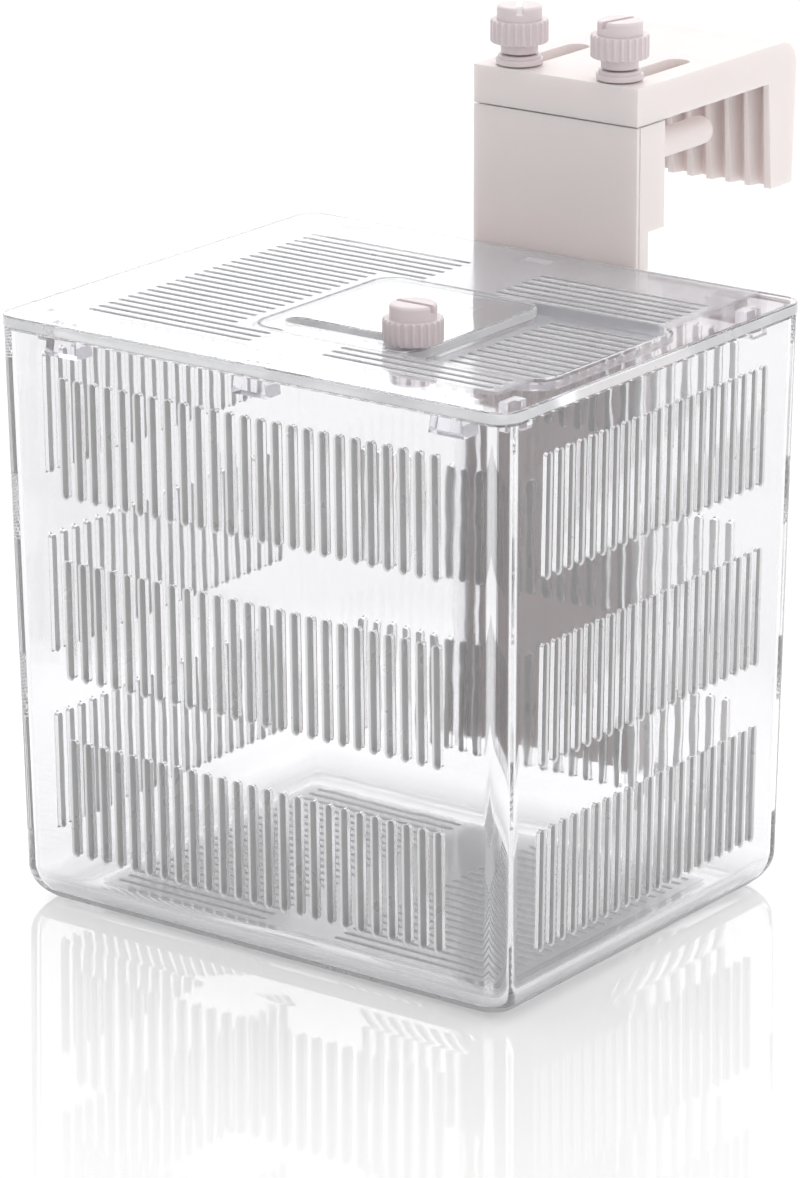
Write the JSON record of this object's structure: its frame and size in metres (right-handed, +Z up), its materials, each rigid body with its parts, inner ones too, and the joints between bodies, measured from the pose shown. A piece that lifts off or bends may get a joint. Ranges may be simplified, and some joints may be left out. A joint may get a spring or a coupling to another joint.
{
  "type": "fish breeding box",
  "caption": "Clear slotted box for rearing young fish, with a slotted lid, a sliding feeding door and an adjustable hook that clamps on an aquarium's rim.",
  "frame": {"origin": "middle of the tank's underside, on the surface it stands on", "axes": "+X along the wide front wall to the right, +Y from the front wall to the hook, +Z up"},
  "size_m": [0.12, 0.1583, 0.1668],
  "materials": {
    "clear_shell": "polished clear plastic",
    "clear_door": "polished clear plastic",
    "rose_plastic": "smooth pale rose plastic with a soft shine",
    "cream_plastic": "smooth warm white plastic with a soft shine"
  },
  "bodies": {
    "tank_body": {"tank": "clear_shell", "rail_left": "clear_shell", "rail_right": "clear_shell"},
    "lid_body": {"lid": "clear_shell", "lid_nut": "clear_door"},
    "door_body": {"feeding_door": "clear_door"},
    "lid_knob_body": {"lid_knob": "rose_plastic"},
    "post_body": {"hanger_post": "cream_plastic", "peg_left": "cream_plastic", "peg_right": "cream_plastic"},
    "hook_body": {"hanger_hook": "cream_plastic"},
    "clamp_left_body": {"clamp_screw_left": "rose_plastic", "clamp_collar_left": "rose_plastic"},
    "clamp_right_body": {"clamp_screw_right": "rose_plastic", "clamp_collar_right": "rose_plastic"}
  },
  "joints": [
    {"name": "lid_lift", "type": "slide", "parent": "tank_body", "child": "lid_body", "axis": [0, 0, 1], "range_m": [0, 0.025]},
    {"name": "door_slide", "type": "slide", "parent": "lid_body", "child": "door_body", "axis": [1, 0, 0], "range_m": [0, 0.0273]},
    {"name": "lid_knob_turn", "type": "hinge", "parent": "lid_body", "child": "lid_knob_body", "pos_m": [0.01715, -0.0196, 0.1193], "axis": [0, 0, 1], "continuous": true},
    {"name": "post_slide", "type": "slide", "parent": "tank_body", "child": "post_body", "axis": [0, 0, 1], "range_m": [0, 0.06]},
    {"name": "hook_slide", "type": "slide", "parent": "post_body", "child": "hook_body", "axis": [0, 1, 0], "range_m": [-0.0115, 0]},
    {"name": "clamp_left_turn", "type": "hinge", "parent": "post_body", "child": "clamp_left_body", "pos_m": [-0.012, 0.05585, 0.1573], "axis": [0, 0, 1], "continuous": true},
    {"name": "clamp_right_turn", "type": "hinge", "parent": "post_body", "child": "clamp_right_body", "pos_m": [0.012, 0.05585, 0.1573], "axis": [0, 0, 1], "continuous": true}
  ]
}
